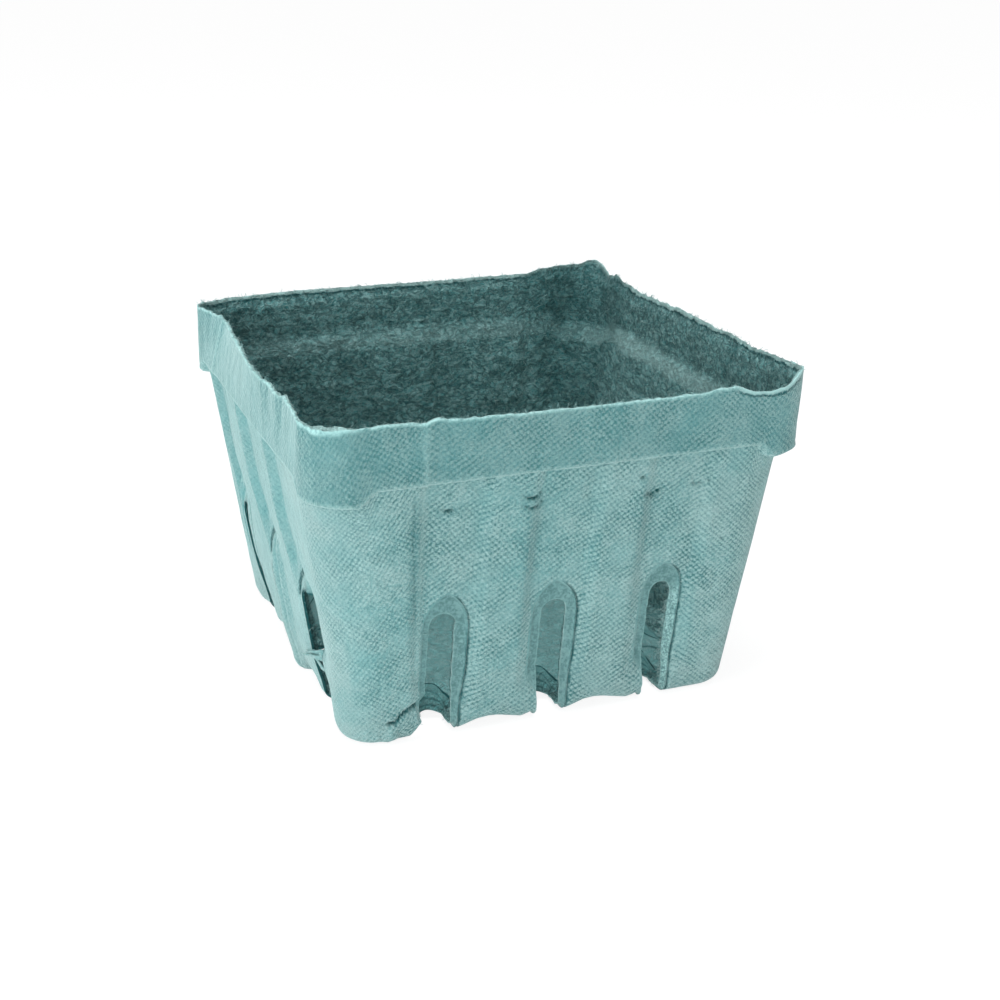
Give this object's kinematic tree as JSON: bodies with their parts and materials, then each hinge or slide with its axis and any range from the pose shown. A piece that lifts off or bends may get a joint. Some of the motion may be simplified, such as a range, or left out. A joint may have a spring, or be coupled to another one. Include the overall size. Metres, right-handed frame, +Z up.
{
  "type": "berry basket",
  "caption": "Square moulded-pulp berry basket: leaning fluted walls, a stepped collar with corner lobes, pointed-arch vents cut down through a hollow foot, and a raised floor.",
  "frame": {"origin": "middle of the basket seen from above, at the level of its feet", "axes": "+Z up through the mouth; -Y out of the front side, the long side that faces the camera in the picture; +X out of the right side"},
  "size_m": [0.111, 0.111, 0.0743],
  "materials": {
    "pulp": "matte"
  },
  "bodies": {
    "root": {"rim_collar": "pulp", "front_wall": "pulp", "right_wall": "pulp", "back_wall": "pulp", "left_wall": "pulp", "front_right_corner": "pulp", "right_back_corner": "pulp", "back_left_corner": "pulp", "left_front_corner": "pulp", "floor": "pulp"}
  },
  "joints": []
}
